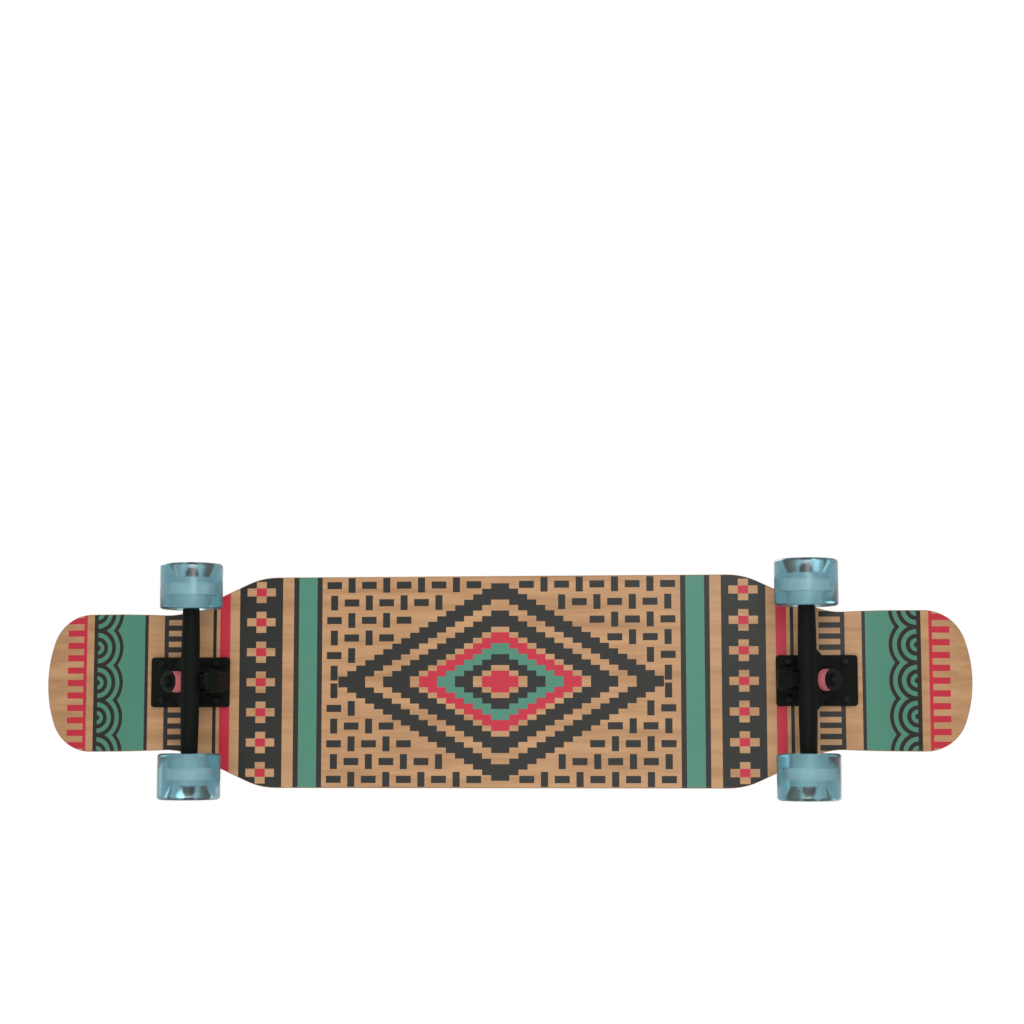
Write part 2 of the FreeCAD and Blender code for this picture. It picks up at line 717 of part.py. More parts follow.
def speed_washers():
    """The thin washers on both sides of a wheel's bearings."""
    washer = tube(SPEED_WASHER_DIAMETER / 2, axle_radius, 0, SPEED_WASHER_THICKNESS)
    return [shifted(washer, 0, 0, hanger_face), shifted(washer, 0, 0, outer_washer_y)]


def bearing_spacer():
    """The sleeve between a wheel's two inner rings."""
    low = inner_bearing_y + BEARING_WIDTH / 2
    return tube(SPACER_DIAMETER / 2, axle_radius, low, low + SPACER_LENGTH)


ball_radius = BALL_DIAMETER / 2
pitch_radius = (BEARING_INNER_SHOULDER + BEARING_OUTER_SHOULDER) / 4
half_bearing = BEARING_WIDTH / 2
bearing_stations = (inner_bearing_y, outer_bearing_y)


def groove():
    """The round groove that a bearing's balls run in."""
    return Part.makeTorus(pitch_radius, ball_radius + BALL_CLEARANCE)


def ball_places():
    """The centres of a bearing's balls, round its axis."""
    turns = [2 * math.pi * step / BALL_COUNT for step in range(BALL_COUNT)]
    return [Vector(pitch_radius * math.cos(turn), pitch_radius * math.sin(turn), 0) for turn in turns]


def in_both_bearings(shapes):
    """Copies of shapes in a wheel's two bearings."""
    return [shifted(shape, 0, 0, station) for station in bearing_stations for shape in shapes]


def inner_rings():
    """The bearing rings that sit on the axle."""
    ring = tube(BEARING_INNER_SHOULDER / 2, axle_radius, -half_bearing, half_bearing).cut(groove())
    return in_both_bearings([ring])


def outer_rings():
    """The bearing rings that sit in the wheel's core."""
    ring = tube(BEARING_DIAMETER / 2, BEARING_OUTER_SHOULDER / 2, -half_bearing, half_bearing).cut(groove())
    return in_both_bearings([ring])


def balls():
    """The balls of a wheel's bearings."""
    return in_both_bearings([Part.makeSphere(ball_radius, place) for place in ball_places()])


def cages():
    """The cages that hold the balls apart."""
    half_cage = CAGE_THICKNESS / 2
    cage = tube(pitch_radius + half_cage, pitch_radius - half_cage, -CAGE_WIDTH / 2, CAGE_WIDTH / 2)
    pocket = ball_radius + CAGE_POCKET_CLEARANCE
    holes = [Part.makeCylinder(pocket, 2 * pitch_radius, Vector(), place) for place in ball_places()]
    return in_both_bearings([cage.cut(holes)])


def shields():
    """The thin shields that close both sides of each bearing, held by its outer ring."""
    outside = half_bearing - SHIELD_SET_IN
    inside = outside - SHIELD_THICKNESS
    hole = BEARING_INNER_SHOULDER / 2 + SHIELD_CLEARANCE
    rim = BEARING_OUTER_SHOULDER / 2
    return in_both_bearings([tube(rim, hole, inside, outside), tube(rim, hole, -outside, -inside)])


def core_profile():
    """The core's outer profile, from its inner face to its outer face: (radius, distance) points."""
    core_radius = CORE_DIAMETER / 2
    ridge_radius = core_radius + CORE_RIDGE_HEIGHT
    half_ridge = CORE_RIDGE_WIDTH / 2
    return [
        (core_radius, -core_half - CORE_SKIRT),
        (core_radius, -half_ridge),
        (ridge_radius, -half_ridge),
        (ridge_radius, half_ridge),
        (core_radius, half_ridge),
        (core_radius, core_half),
    ]


def wheel_core():
    """The hard core that holds the bearings, with a ridge that the tyre grips and a skirt round the beam."""
    seat = SPACER_LENGTH / 2
    seat_radius_core = BEARING_DIAMETER / 2
    bore = CORE_BORE_DIAMETER / 2
    core = turned(core_profile() + [
        (seat_radius_core, core_half),
        (seat_radius_core, seat),
        (bore, seat),
        (bore, -seat),
        (seat_radius_core, -seat),
        (seat_radius_core, -core_half - CORE_SKIRT),
    ])
    return shifted(core, 0, 0, wheel_y)


def wheel_tyre():
    """The urethane tyre, cast round the core and set outboard of it, with dished sides and round lips."""
    radius = WHEEL_DIAMETER / 2
    half = WHEEL_WIDTH / 2
    dish = WHEEL_DISH_DIAMETER / 2
    lip = radius - WHEEL_LIP_RADIUS
    lip_y = half - WHEEL_LIP_RADIUS
    bulge = WHEEL_LIP_RADIUS / math.sqrt(2)

    def line(points):
        corners = [Vector(x, 0, z) for x, z in points]
        return [Part.LineSegment(a, b).toShape() for a, b in zip(corners, corners[1:])]

    def lip_arc(side):
        points = [(lip, side * half), (lip + bulge, side * (lip_y + bulge)), (radius, side * lip_y)]
        return Part.Arc(*[Vector(x, 0, z) for x, z in points]).toShape()

    inside = [(reach, distance - TYRE_OFFSET) for reach, distance in core_profile()]
    edges = line([(lip, -half), (dish, -half)] + inside + [(dish, half), (lip, half)])
    edges += [lip_arc(1), lip_arc(-1)] + line([(radius, lip_y), (radius, -lip_y)])
    profile = Part.Face(Part.Wire(Part.__sortEdges__(edges)))
    tyre = profile.revolve(Vector(0, 0, 0), Vector(0, 0, 1), 360)
    mouth = [
        edge for edge in tyre.Edges
        if edge.Closed and abs(edge.BoundBox.ZMin) > lip_y
        and abs(edge.BoundBox.XMax - dish) < WHEEL_DISH_EDGE_RADIUS
    ]
    return shifted(tyre.makeFillet(WHEEL_DISH_EDGE_RADIUS, mouth), 0, 0, wheel_y + TYRE_OFFSET)


def save(name, solids):
    """Writes a node's solids to its file."""
    shape = solids[0] if len(solids) == 1 else Part.makeCompound(solids)
    if not shape.isValid():
        raise ValueError(name + " isn't a valid shape")
    shape.exportStep(os.path.join("parts", name + ".step"))
    print(name, len(shape.Solids), "solids,", round(shape.Volume), "mm3")


def save_truck(place, end):
    """Writes the nodes of one truck."""
    base = on_truck(baseplate(), end)
    save(place + "_baseplate", [base])
    save(place + "_mount_bolts", at_bolts(mount_bolt(), end))
    save(place + "_mount_nuts", at_bolts(mount_nut(), end))
    steering_nodes = {
        "pivot_cup": [pivot_cup()],
        "kingpin": [kingpin()],
        "kingpin_nut": [kingpin_nut()],
        "board_bushing": [board_bushing()],
        "road_bushing": [road_bushing()],
        "bushing_washers": bushing_washers(),
        "hanger": [hanger()],
    }
    for name, solids in steering_nodes.items():
        save(place + "_" + name, [on_steering(solid, end) for solid in solids])
    save(place + "_axle", [on_axle(along_y(axle(), 1), end)])
    axle_nodes = {
        "axle_nuts": [axle_nut()],
        "speed_washers": speed_washers(),
        "bearing_spacers": [bearing_spacer()],
        "bearing_inner_rings": inner_rings(),
    }
    for name, solids in axle_nodes.items():
        both = [on_axle(along_y(solid, side), end) for side in SIDES.values() for solid in solids]
        save(place + "_" + name, both)


def save_wheel(place, end, hand, side):
    """Writes the nodes of one wheel. The rear truck is turned about, so its sides swap."""
    wheel_nodes = {
        "tyre": [wheel_tyre()],
        "core": [wheel_core()],
        "bearing_outer_rings": outer_rings(),
        "bearing_balls": balls(),
        "bearing_cages": cages(),
        "bearing_shields": shields(),
    }
    for name, solids in wheel_nodes.items():
        wheel = [on_axle(along_y(solid, side * end), end) for solid in solids]
        save(place + "_" + hand + "_wheel_" + name, wheel)


os.makedirs("parts", exist_ok=True)
save("deck", [deck()])
save("grip_tape", [grip_tape()])
for place, end in ENDS.items():
    save_truck(place, end)
    for hand, side in SIDES.items():
        save_wheel(place, end, hand, side)
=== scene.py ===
"""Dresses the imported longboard: maple deck, grip tape, cast trucks, bushings and clear wheels."""

import json
import math

import bpy
from bpy.props import FloatProperty, FloatVectorProperty, IntProperty, PointerProperty
from mathutils import Matrix, Vector

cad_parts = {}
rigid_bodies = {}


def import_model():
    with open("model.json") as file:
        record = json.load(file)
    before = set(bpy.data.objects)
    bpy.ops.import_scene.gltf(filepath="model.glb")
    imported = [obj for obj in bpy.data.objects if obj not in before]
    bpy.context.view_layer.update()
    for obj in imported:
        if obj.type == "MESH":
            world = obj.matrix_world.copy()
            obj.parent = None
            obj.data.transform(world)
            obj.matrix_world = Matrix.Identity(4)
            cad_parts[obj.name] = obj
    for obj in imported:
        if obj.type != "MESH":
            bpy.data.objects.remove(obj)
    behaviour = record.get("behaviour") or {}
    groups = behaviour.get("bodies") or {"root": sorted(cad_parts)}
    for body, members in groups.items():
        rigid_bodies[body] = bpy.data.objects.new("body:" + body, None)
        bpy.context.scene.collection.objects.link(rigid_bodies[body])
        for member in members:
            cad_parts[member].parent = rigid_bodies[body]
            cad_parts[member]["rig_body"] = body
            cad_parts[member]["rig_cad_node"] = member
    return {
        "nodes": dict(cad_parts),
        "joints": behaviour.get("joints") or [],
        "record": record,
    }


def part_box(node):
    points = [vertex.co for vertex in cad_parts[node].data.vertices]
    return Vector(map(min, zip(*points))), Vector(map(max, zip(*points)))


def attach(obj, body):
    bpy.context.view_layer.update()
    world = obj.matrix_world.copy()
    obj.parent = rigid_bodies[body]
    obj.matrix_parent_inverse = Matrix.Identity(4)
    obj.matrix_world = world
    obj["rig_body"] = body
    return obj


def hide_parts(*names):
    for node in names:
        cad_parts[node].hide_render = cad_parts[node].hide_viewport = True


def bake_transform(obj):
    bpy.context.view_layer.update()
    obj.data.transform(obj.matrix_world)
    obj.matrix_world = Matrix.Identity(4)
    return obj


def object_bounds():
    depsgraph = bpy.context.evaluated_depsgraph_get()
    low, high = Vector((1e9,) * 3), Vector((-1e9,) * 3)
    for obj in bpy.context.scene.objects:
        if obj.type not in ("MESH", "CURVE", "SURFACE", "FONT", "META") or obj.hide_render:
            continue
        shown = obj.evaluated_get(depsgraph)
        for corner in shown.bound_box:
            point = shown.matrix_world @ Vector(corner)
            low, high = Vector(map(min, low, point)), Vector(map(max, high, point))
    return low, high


bl_info = {
    "name": "Longboard Finishes",
    "version": (1, 0, 0),
    "blender": (4, 5, 0),
    "location": "3D View > Sidebar > Longboard",
    "description": "Dresses a longboard's CAD frame with its finishes, soft pieces and stage",
    "category": "Object",
}

bpy.ops.object.select_all(action="SELECT")
bpy.ops.object.delete()
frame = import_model()
cad_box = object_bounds()

ENDS = ("front", "rear")
SIDES = {"left": Vector((0, 1, 0)), "right": Vector((0, -1, 0))}
MERGE_DISTANCE = 1e-6
SHADE_ANGLE = math.radians(35)
PRINT_BLUR = 0.0003
STEP_BLUR = 0.01
NOISE_MIDDLE = 0.5
WHITE = (1.0, 1.0, 1.0, 1.0)
STEER_JOINTS = {
    joint["name"]: joint for joint in frame["joints"] if joint["name"].endswith("_steer")
}


def colour_setting(name, description, default):
    """A colour that a user can change."""
    return FloatVectorProperty(
        name=name,
        description=description,
        subtype="COLOR",
        size=3,
        min=0.0,
        max=1.0,
        default=default,
    )


def length_setting(name, description, default):
    """A length in metres that a user can change."""
    return FloatProperty(
        name=name, description=description, unit="LENGTH", min=0.0, default=default
    )


class DeckSettings(bpy.types.PropertyGroup):
    """Sizes and colours of the deck, its print and its grip tape."""

    kick_from_tip: length_setting(
        "Kick from tip", "Where the deck starts to bend up, from its tip", 0.128
    )
    kick_radius: length_setting("Kick radius", "Radius of the underside where it bends up", 0.170)
    kick_angle: FloatProperty(
        name="Kick angle",
        description="How steeply the ends rise",
        subtype="ANGLE",
        default=math.radians(13),
    )
    deck_thickness: length_setting("Deck thickness", "Thickness of the pressed plies", 0.0112)
    ply_count: IntProperty(
        name="Plies", description="Number of veneers in the deck", default=8, min=2
    )
    ink_depth: length_setting("Ink depth", "How far the print wraps up the edge", 0.0007)
    maple: colour_setting("Maple", "Face veneer", (0.48, 0.274, 0.138))
    maple_dark: colour_setting(
        "Maple streaks", "Darker streaks of the face veneer", (0.29, 0.142, 0.063)
    )
    cross_ply: colour_setting(
        "Cross ply", "Veneers that show their end grain", (0.25, 0.125, 0.060)
    )
    black_ink: colour_setting("Black ink", "Black of the print", (0.010, 0.013, 0.013))
    teal_ink: colour_setting("Teal ink", "Teal of the print", (0.062, 0.215, 0.152))
    red_ink: colour_setting("Red ink", "Red of the print", (0.470, 0.022, 0.046))
    grit: colour_setting("Grit", "Grains of the grip tape", (0.034, 0.034, 0.032))


class TruckSettings(bpy.types.PropertyGroup):
    """Sizes and colours of the trucks."""

    cast_voxel: length_setting("Casting voxel", "Cell that the castings' skin is made in", 0.0008)
    cast_rounding: IntProperty(
        name="Casting rounding", description="Passes that round the edges", default=8
    )
    casting: colour_setting("Casting", "Satin black powder coat", (0.0024, 0.0032, 0.0024))
    black_steel: colour_setting("Black steel", "Black oxide on fasteners", (0.004, 0.0045, 0.004))
    plated_steel: colour_setting("Plated steel", "Bright zinc plate", (0.56, 0.56, 0.55))
    bushing: colour_setting("Bushing", "Coral-pink urethane", (0.85, 0.22, 0.25))
    bushing_radius: length_setting("Bushing radius", "Widest radius at the ring", 0.0125)
    bushing_height: length_setting("Bushing height", "Length along the kingpin", 0.015)
    bushing_bore: length_setting("Bushing bore", "Radius of the kingpin's hole", 0.0049)
    bushing_edge: length_setting("Bushing edge", "Rounding at both ends", 0.0018)
    road_end_radius: length_setting(
        "Road end radius", "Radius of the road bushing at its washer", 0.011
    )
    ring_seat: length_setting("Ring seat", "From the ring's middle to a bushing's end", 0.003)


class WheelSettings(bpy.types.PropertyGroup):
    """Sizes and colours of the wheels."""

    lip_radius: length_setting("Lip radius", "Rounding of the tyre's outer edges", 0.004)
    dish_radius: length_setting("Dish radius", "Radius of the dish at the tyre's side", 0.020)
    mouth_rounding: length_setting(
        "Mouth rounding", "Rounding where the dish meets the side", 0.002
    )
    core_radius: length_setting("Core radius", "Outside of the core beside its ridge", 0.0145)
    core_half_width: length_setting("Core half width", "Half the core's width", 0.0124)
    core_skirt: length_setting(
        "Core skirt", "How far the core reaches past its inner bearing", 0.008
    )
    ridge_radius: length_setting("Ridge radius", "Outside of the core's ridge", 0.020)
    ridge_half_width: length_setting("Ridge half width", "Half the ridge's width", 0.0065)
    tyre_offset: length_setting(
        "Tyre offset", "How far the tyre is set outboard of its core", 0.003
    )
    core_overlap: length_setting(
        "Core overlap", "How far the tyre's skin runs into the core", 0.0006
    )
    urethane: colour_setting(
        "Urethane", "Clear aqua of the tyres, which deepens through them", (0.08, 0.46, 0.54)
    )
    urethane_density: FloatProperty(
        name="Urethane density",
        description="How fast the colour deepens, for each metre",
        min=0.0,
        default=40.0,
    )
    urethane_skin: colour_setting(
        "Urethane skin", "Faint tint of the tyres' surface", (0.85, 0.95, 0.96)
    )
    core: colour_setting("Core", "Pale moulded core", (0.86, 0.92, 0.92))
    bearing_steel: colour_setting("Bearing steel", "Ground bearing rings", (0.66, 0.66, 0.66))
    shield: colour_setting("Shield", "Black bearing shields", (0.016, 0.016, 0.017))
    cage: colour_setting("Cage", "Natural nylon", (0.70, 0.67, 0.60))


class StageSettings(bpy.types.PropertyGroup):
    """The floor, the light and the camera."""

    floor: colour_setting("Floor", "Plain pale floor", (0.80, 0.80, 0.80))
    floor_size: length_setting("Floor size", "Side of the floor", 60.0)
    floor_fade_start: length_setting(
        "Fade start", "Where the floor starts to turn to plain white", 0.9
    )
    floor_fade_end: length_setting("Fade end", "Where the floor is plain white", 2.2)
    ambient: FloatProperty(name="Ambient", description="Light from all round", default=0.50)
    camera_place: FloatVectorProperty(
        name="Camera",
        description="Where the camera is",
        subtype="TRANSLATION",
        default=(0.1997, 0.0522, -2.2364),
    )
    camera_turn: FloatVectorProperty(
        name="Camera turn",
        description="How the camera is turned",
        subtype="EULER",
        default=(math.radians(185.99), math.radians(-4.56), math.radians(0.06)),
    )
    camera_angle: FloatProperty(
        name="Camera angle", description="Field of view", subtype="ANGLE", default=math.radians(28)
    )


class Signal:
    """A shader socket that takes part in Python arithmetic: each operation adds a Math node."""

    def __init__(self, socket):
        self.socket = socket
        self.tree = socket.id_data

    def node(self, kind, settings=None, inputs=None, output=0):
        """Adds any other node: its settings first, then its sockets' values or links."""
        made = self.tree.nodes.new(kind)
        for name, value in (settings or {}).items():
            setattr(made, name, value)
        for name, value in (inputs or {}).items():
            if isinstance(value, Signal):
                self.tree.links.new(value.socket, made.inputs[name])
            else:
                made.inputs[name].default_value = value
        return Signal(made.outputs[output]) if made.outputs else None

    def other(self, output):
        """Another output of the same node."""
        return Signal(self.socket.node.outputs[output])

    def math(self, operation, first, second=0.0, clamp=False):
        settings = {"operation": operation, "use_clamp": clamp}
        return self.node("ShaderNodeMath", settings, {0: first, 1: second})

    def __add__(self, value):
        return self.math("ADD", self, value)

    def __sub__(self, value):
        return self.math("SUBTRACT", self, value)

    def __rsub__(self, value):
        return self.math("SUBTRACT", value, self)

    def __mul__(self, value):
        return self.math("MULTIPLY", self, value)

    def __truediv__(self, value):
        return self.math("DIVIDE", self, value)

    def __abs__(self):
        return self.math("ABSOLUTE", self)

    __radd__ = __add__
    __rmul__ = __mul__

    def at_most(self, value):
        return self.math("MINIMUM", self, value)

    def at_least(self, value):
        return self.math("MAXIMUM", self, value)

    def root(self):
        return self.math("SQRT", self)

    def floor(self):
        return self.math("FLOOR", self)

    def to_nearest(self, pitch):
        """The distance to the nearest multiple of a pitch."""
        return self.math("PINGPONG", self, pitch / 2)

    def above(self, edge, blur=PRINT_BLUR):
        """1 above an edge and 0 below it, with a narrow blur."""
        return self.math("ADD", (self - edge) * (1 / blur), 0.5, clamp=True)

    def between(self, low, high, blur=PRINT_BLUR):
        """1 between two edges."""
        return self.above(low, blur) - self.above(high, blur)


def first_signal(owner, kind, output):
    """Empties the node tree of a material or a world and adds its first node."""
    owner.use_nodes = True
    owner.node_tree.nodes.clear()
    return Signal(owner.node_tree.nodes.new(kind).outputs[output])


def start_finish(name):
    """A new material, and its Object coordinates."""
    material = bpy.data.materials.new(name)
    return material, first_signal(material, "ShaderNodeTexCoord", "Object")


def end_finish(place, inputs, filling=None):
    """Adds the surface shader and the material's output, with what fills a clear piece."""
    sockets = {"Surface": place.node("ShaderNodeBsdfPrincipled", {}, inputs)}
    if filling:
        sockets["Volume"] = filling
    place.node("ShaderNodeOutputMaterial", {}, sockets)


def opaque(colour):
    """A colour setting as a socket's value."""
    return (*colour, 1.0)


def noise(place, scale, detail=2.0, roughness=0.5):
    """Soft noise from 0 to 1, with one scale or its own scale along each axis."""
    if isinstance(scale, tuple):
        place = place.node("ShaderNodeVectorMath", {"operation": "MULTIPLY"}, {0: place, 1: scale})
        scale = 1.0
    return place.node("ShaderNodeTexNoise", {}, {
        "Vector": place, "Scale": scale, "Detail": detail, "Roughness": roughness,
    })


def mixed(mask, low, high):
    """One colour where a mask is 0 and another where it is 1."""
    return mask.node("ShaderNodeMix", {"data_type": "RGBA"}, {0: mask, 6: low, 7: high}, 2)


def shaded(colour, shade):
    """A lighter or darker tone of a colour setting, as a socket's value."""
    return opaque([shade * part for part in colour])


def graded(mask, start, change):
    """A value that starts where a mask is 0 and has changed where it is 1."""
    return start + change * mask


def bump(height, strength, distance):
    """A bumpy normal."""
    return height.node("ShaderNodeBump", {}, {
        "Strength": strength, "Distance": distance, "Height": height,
    })


# In the finishes a noise is (scale for each metre, detail, roughness), a bump is (strength, height
# in metres) and a roughness is (start, change over the noise).
CASTING_PEEL = (700.0, 3.0)
CASTING_CLOUD = (45.0, 2.0)
CASTING_LIGHT_PATCH = 2.2
CASTING_ROUGHNESS = (0.52, 0.14)
CASTING_SPECULAR = 0.06
CASTING_BUMP = (0.22, 0.0004)


def casting_finish(settings):
    """Satin black powder coat, with the faint orange peel of sprayed castings."""
    material, place = start_finish("satin_black_casting")
    peel = noise(place, *CASTING_PEEL)
    cloud = noise(place, *CASTING_CLOUD)
    light = shaded(settings.casting, CASTING_LIGHT_PATCH)
    end_finish(place, {
        "Base Color": mixed(cloud, opaque(settings.casting), light),
        "Roughness": graded(cloud, *CASTING_ROUGHNESS),
        "Specular IOR Level": CASTING_SPECULAR,
        "Normal": bump(peel, *CASTING_BUMP),
    })
    return material


OXIDE_CLOUD = (160.0, 3.0)
OXIDE_LIGHT_PATCH = 3.0
OXIDE_METALLIC = 0.25
OXIDE_ROUGHNESS = (0.34, 0.16)
OXIDE_SPECULAR = 0.08
OXIDE_PIT_SCALE = 1800.0
OXIDE_BUMP = (0.12, 0.0002)


def black_steel_finish(settings):
    """Black oxide on steel fasteners."""
    material, place = start_finish("black_oxide_steel")
    cloud = noise(place, *OXIDE_CLOUD)
    light = shaded(settings.black_steel, OXIDE_LIGHT_PATCH)
    end_finish(place, {
        "Base Color": mixed(cloud, opaque(settings.black_steel), light),
        "Metallic": OXIDE_METALLIC,
        "Roughness": graded(cloud, *OXIDE_ROUGHNESS),
        "Specular IOR Level": OXIDE_SPECULAR,
        "Normal": bump(noise(place, OXIDE_PIT_SCALE), *OXIDE_BUMP),
    })
    return material


# Bright steels: (material's name, roughness at its smoothest)
PLATED_STEEL = ("bright_plated_steel", 0.24)
BEARING_STEEL = ("ground_bearing_steel", 0.14)
STEEL_CLOUD = (120.0, 3.0)
STEEL_DULL_PATCH = 0.72
STEEL_ROUGHER = 0.12
TURNING_MARK_SCALES = (300.0, 6000.0, 300.0)
TURNING_BUMP = (0.06, 0.0001)


def bright_steel_finish(colour, name, roughness):
    """Bare or plated steel with fine turning marks."""
    material, place = start_finish(name)
    cloud = noise(place, *STEEL_CLOUD)
    end_finish(place, {
        "Base Color": mixed(cloud, shaded(colour, STEEL_DULL_PATCH), opaque(colour)),
        "Metallic": 1.0,
        "Roughness": graded(cloud, roughness, STEEL_ROUGHER),
        "Normal": bump(noise(place, TURNING_MARK_SCALES), *TURNING_BUMP),
    })
    return material


# Moulded pieces: (material's name, roughness at its smoothest, shade of the darker patches)
BUSHING_MOULDING = ("coral_bushing_urethane", 0.30, 0.82)
CUP_MOULDING = ("black_cup_urethane", 0.5, 0.7)
CORE_MOULDING = ("pale_core_plastic", 0.3, 0.94)
SHIELD_MOULDING = ("black_bearing_shield", 0.3, 0.7)
CAGE_MOULDING = ("natural_cage_nylon", 0.4, 0.9)
MOULDED_CLOUD = (90.0, 2.0)
MOULDED_ROUGHER = 0.1
MOULDED_SKIN = (1200.0, 3.0)
MOULDED_BUMP = (0.1, 0.0002)


def moulded_finish(colour, name, roughness, shade):
    """Moulded plastic or urethane, with a slight cloud in its colour."""
    material, place = start_finish(name)
    cloud = noise(place, *MOULDED_CLOUD)
    end_finish(place, {
        "Base Color": mixed(cloud, shaded(colour, shade), opaque(colour)),
        "Roughness": graded(cloud, roughness, MOULDED_ROUGHER),
        "Normal": bump(noise(place, *MOULDED_SKIN), *MOULDED_BUMP),
    })
    return material


TYRE_CLOUD = (70.0, 2.0)
TYRE_DULL_PATCH = 0.95
TYRE_ROUGHNESS = (0.16, 0.08)
TYRE_IOR = 1.49


def tyre_finish(settings):
    """Clear cast urethane, lightly scuffed, whose colour deepens with its thickness."""
    material, place = start_finish("clear_aqua_urethane")
    cloud = noise(place, *TYRE_CLOUD)
    skin = settings.urethane_skin
    depth_colour = place.node("ShaderNodeVolumeAbsorption", {}, {
        "Color": opaque(settings.urethane), "Density": settings.urethane_density,
    })
    end_finish(place, {
        "Base Color": mixed(cloud, shaded(skin, TYRE_DULL_PATCH), opaque(skin)),
        "Roughness": graded(cloud, *TYRE_ROUGHNESS),
        "IOR": TYRE_IOR,
        "Transmission Weight": 1.0,
    }, depth_colour)
    return material


GRIT_SCALE = 1500.0
GRIT_BUMP = (0.7, 0.0005)
GRIT_SHADES = (0.55, 1.7)
GRIT_WEAR = ((3.0, 7.0, 3.0), 4.0)
GRIT_ROUGHNESS = 0.86
GRIT_SPECULAR = 0.35
GLINT_NOISE = (1100.0, 1.0)
GLINT_EDGE = (0.72, 0.06)
PAINTED_GLINT_TONE = 4.0
PAINTED_GLINT_SHARE = 0.6
GLINT_SMOOTHER = 0.3


def grip_finish(settings):
    """Black abrasive sheet: close grains, with a few smoother ones that carry a painted glint in
    their colour.
    """
    material, place = start_finish("black_grip_grit")
    grains = place.node(
        "ShaderNodeTexVoronoi", {"feature": "F1"}, {"Vector": place, "Scale": GRIT_SCALE}
    )
    glint = noise(place, *GLINT_NOISE).above(*GLINT_EDGE)
    wear = noise(place, *GRIT_WEAR)
    dark, light = [shaded(settings.grit, shade) for shade in GRIT_SHADES]
    sheet = mixed(wear, dark, light)
    # Painted glint: the glinting grains' base colour is made lighter; their lower roughness is real
    # gloss.
    end_finish(place, {
        "Base Color": mixed(glint * PAINTED_GLINT_SHARE, sheet, shaded(settings.grit, PAINTED_GLINT_TONE)),
        "Roughness": GRIT_ROUGHNESS - GLINT_SMOOTHER * glint,
        "Specular IOR Level": GRIT_SPECULAR,
        "Normal": bump(1 - grains, *GRIT_BUMP),
    })
    return material


def kick_rise(settings, distance):
    """How far the underside has risen at a distance from the board's middle."""
    bend_x = cad_box[1].x - settings.kick_from_tip
    bend_length = settings.kick_radius * math.sin(settings.kick_angle)
    past_bend = (distance - bend_x).at_least(0.0)
    in_bend = past_bend.at_most(bend_length)
    arc = settings.kick_radius - (settings.kick_radius**2 - in_bend * in_bend).root()
    return arc + (past_bend - bend_length).at_least(0.0) * math.tan(settings.kick_angle)


# Sizes of the print in metres, from the board's middle
FIELD_END = 0.2007
MEDALLION_LENGTH = 0.186
MEDALLION_WIDTH = 0.112
MEDALLION_STEPS = 18
MEDALLION_RINGS = {"red": [(0, 1), (7, 8)], "teal": [(5, 6)], "black": [(3, 4), (10, 12), (15, 17)]}
WEAVE_CELL = 0.0201
WEAVE_BAR = (0.0085, 0.0041)
CROSS_MIDDLE = 0.276
CROSS_BAND = 0.025
CROSS_PITCH = 0.0344
CROSS_LONG_ARM = (0.0165, 0.0046)
CROSS_WIDE_ARM = (0.0058, 0.0122)
SCALLOP_START = 0.412
SCALLOP_END = 0.470
SCALLOP_PITCH = 0.0402
SCALLOP_DOT = 0.0032
SCALLOP_ARCS = ((0.0075, 0.0125), (0.0175, 0.0225), (0.0275, 0.0320))
BLACK_LINES = (
    (0.2050, 0.2110), (0.2320, 0.2380), (0.3280, 0.3320),
    (0.3840, 0.3890), (0.4080, 0.4120), (0.4700, 0.4750),
)
BLACK_COMB = (0.3600, 0.3840)
BLACK_COMB_PITCH = 0.0125
TEAL_LINE = (0.2110, 0.2320)
RED_LINES = ((0.3120, 0.3240), (0.4840, 0.4880))
RED_COMB = (0.4880, 0.5080)
RED_COMB_PITCH = 0.0144


def in_ranges(value, ranges):
    """1 where a whole number is in one of several ranges, both ends counted."""
    return sum(value.between(low - 0.5, high + 0.5, STEP_BLUR) for low, high in ranges)


def box_mask(first, second, halves):
    """1 inside a rectangle that is centred on zero."""
    return (1 - first.above(halves[0])) * (1 - second.above(halves[1]))


def centre_field(along, across):
    """The middle of the print: a medallion of stepped rings, and short bars woven round it."""
    step_length = MEDALLION_LENGTH / MEDALLION_STEPS
    step_width = MEDALLION_WIDTH / MEDALLION_STEPS
    ring = (along / step_length).floor() + (across / step_width).floor()
    inks = {ink: in_ranges(ring, ranges) for ink, ranges in MEDALLION_RINGS.items()}
    column = (along / WEAVE_CELL).floor()
    row = (across / WEAVE_CELL).floor()
    from_column = abs(along - (column + 0.5) * WEAVE_CELL)
    from_row = abs(across - (row + 0.5) * WEAVE_CELL)
    odd = ring.math("MODULO", column + row, 2.0)
    lengthwise = box_mask(from_column, from_row, WEAVE_BAR)
    crosswise = box_mask(from_row, from_column, WEAVE_BAR)
    bars = lengthwise * (1 - odd) + crosswise * odd
    corner_ring = column * (WEAVE_CELL / step_length) + row * (WEAVE_CELL / step_width)
    inks["black"] = inks["black"] + bars * corner_ring.above(MEDALLION_STEPS - 0.5, STEP_BLUR)
    return inks


def cross_band(along, across):
    """A black band with a row of pale crosses, each with a red heart."""
    from_middle = abs(along - CROSS_MIDDLE)
    from_cross = across.to_nearest(CROSS_PITCH)
    band = 1 - from_middle.above(CROSS_BAND)
    long_arm = box_mask(from_middle, from_cross, CROSS_LONG_ARM)
    wide_arm = box_mask(from_middle, from_cross, CROSS_WIDE_ARM)
    return {"black": band * (1 - long_arm.at_least(wide_arm)), "red": long_arm * wide_arm}


def scallop_band(along, across):
    """A teal band with rows of nested black arcs."""
    band = along.between(SCALLOP_START, SCALLOP_END)
    from_edge = along - SCALLOP_END
    from_scallop = across.to_nearest(SCALLOP_PITCH)
    reach = (from_edge * from_edge + from_scallop * from_scallop).root()
    arcs = sum(reach.between(low, high) for low, high in SCALLOP_ARCS)
    black = arcs + (1 - reach.above(SCALLOP_DOT))
    return {"black": band * black, "teal": band * (1 - black)}


